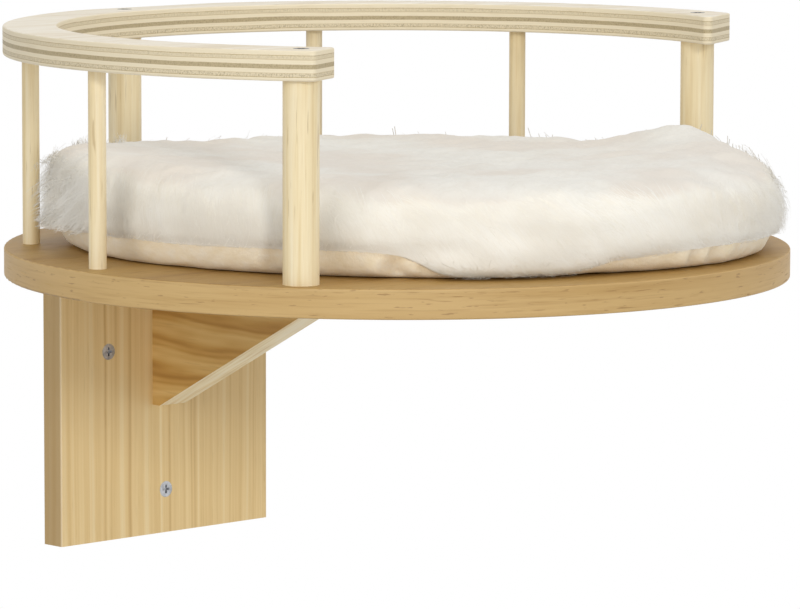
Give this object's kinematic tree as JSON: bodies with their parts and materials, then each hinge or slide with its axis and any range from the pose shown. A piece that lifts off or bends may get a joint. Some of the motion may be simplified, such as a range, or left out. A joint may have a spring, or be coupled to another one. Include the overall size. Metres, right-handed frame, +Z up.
{
  "type": "wall mounted cat perch",
  "caption": "Round cat shelf for a wall, on a screwed plate and gusset, with a curved plywood guard rail on posts and spindles, and a loose long-pile cushion.",
  "frame": {"origin": "middle of the wall plate's back face, on the wall", "axes": "+Y out of the plate's back into the wall, +X along the wall to the right as seen from the room, +Z up"},
  "size_m": [0.41, 0.44, 0.29],
  "materials": {
    "oak_panel": "satin oak-look panel, grain on its faces and edge",
    "pine": "sanded pine",
    "plywood": "sanded birch plywood with its plies bare on the edge",
    "turned_wood": "sanded pale wood",
    "zinc_steel": "zinc plated",
    "plush": "long white pile on top, cream short plush at the base"
  },
  "bodies": {
    "perch": {"board": "oak_panel", "wall_plate": "oak_panel", "gusset": "pine", "guard_rail": "plywood", "post_right": "turned_wood", "post_back": "turned_wood", "post_left": "turned_wood", "spindle_right_front": "turned_wood", "spindle_right_back": "turned_wood", "spindle_left_back": "turned_wood", "spindle_left_front": "turned_wood", "wall_screws": "zinc_steel", "rail_screws": "zinc_steel", "post_base_screws": "zinc_steel", "plate_top_screws": "zinc_steel", "gusset_top_screws": "zinc_steel", "gusset_back_screws": "zinc_steel"},
    "cushion": {"cushion": "plush"}
  },
  "joints": [
    {"name": "cushion_lift", "type": "slide", "parent": "perch", "child": "cushion", "axis": [0, 0, 1], "range_m": [0, 0.15]}
  ]
}
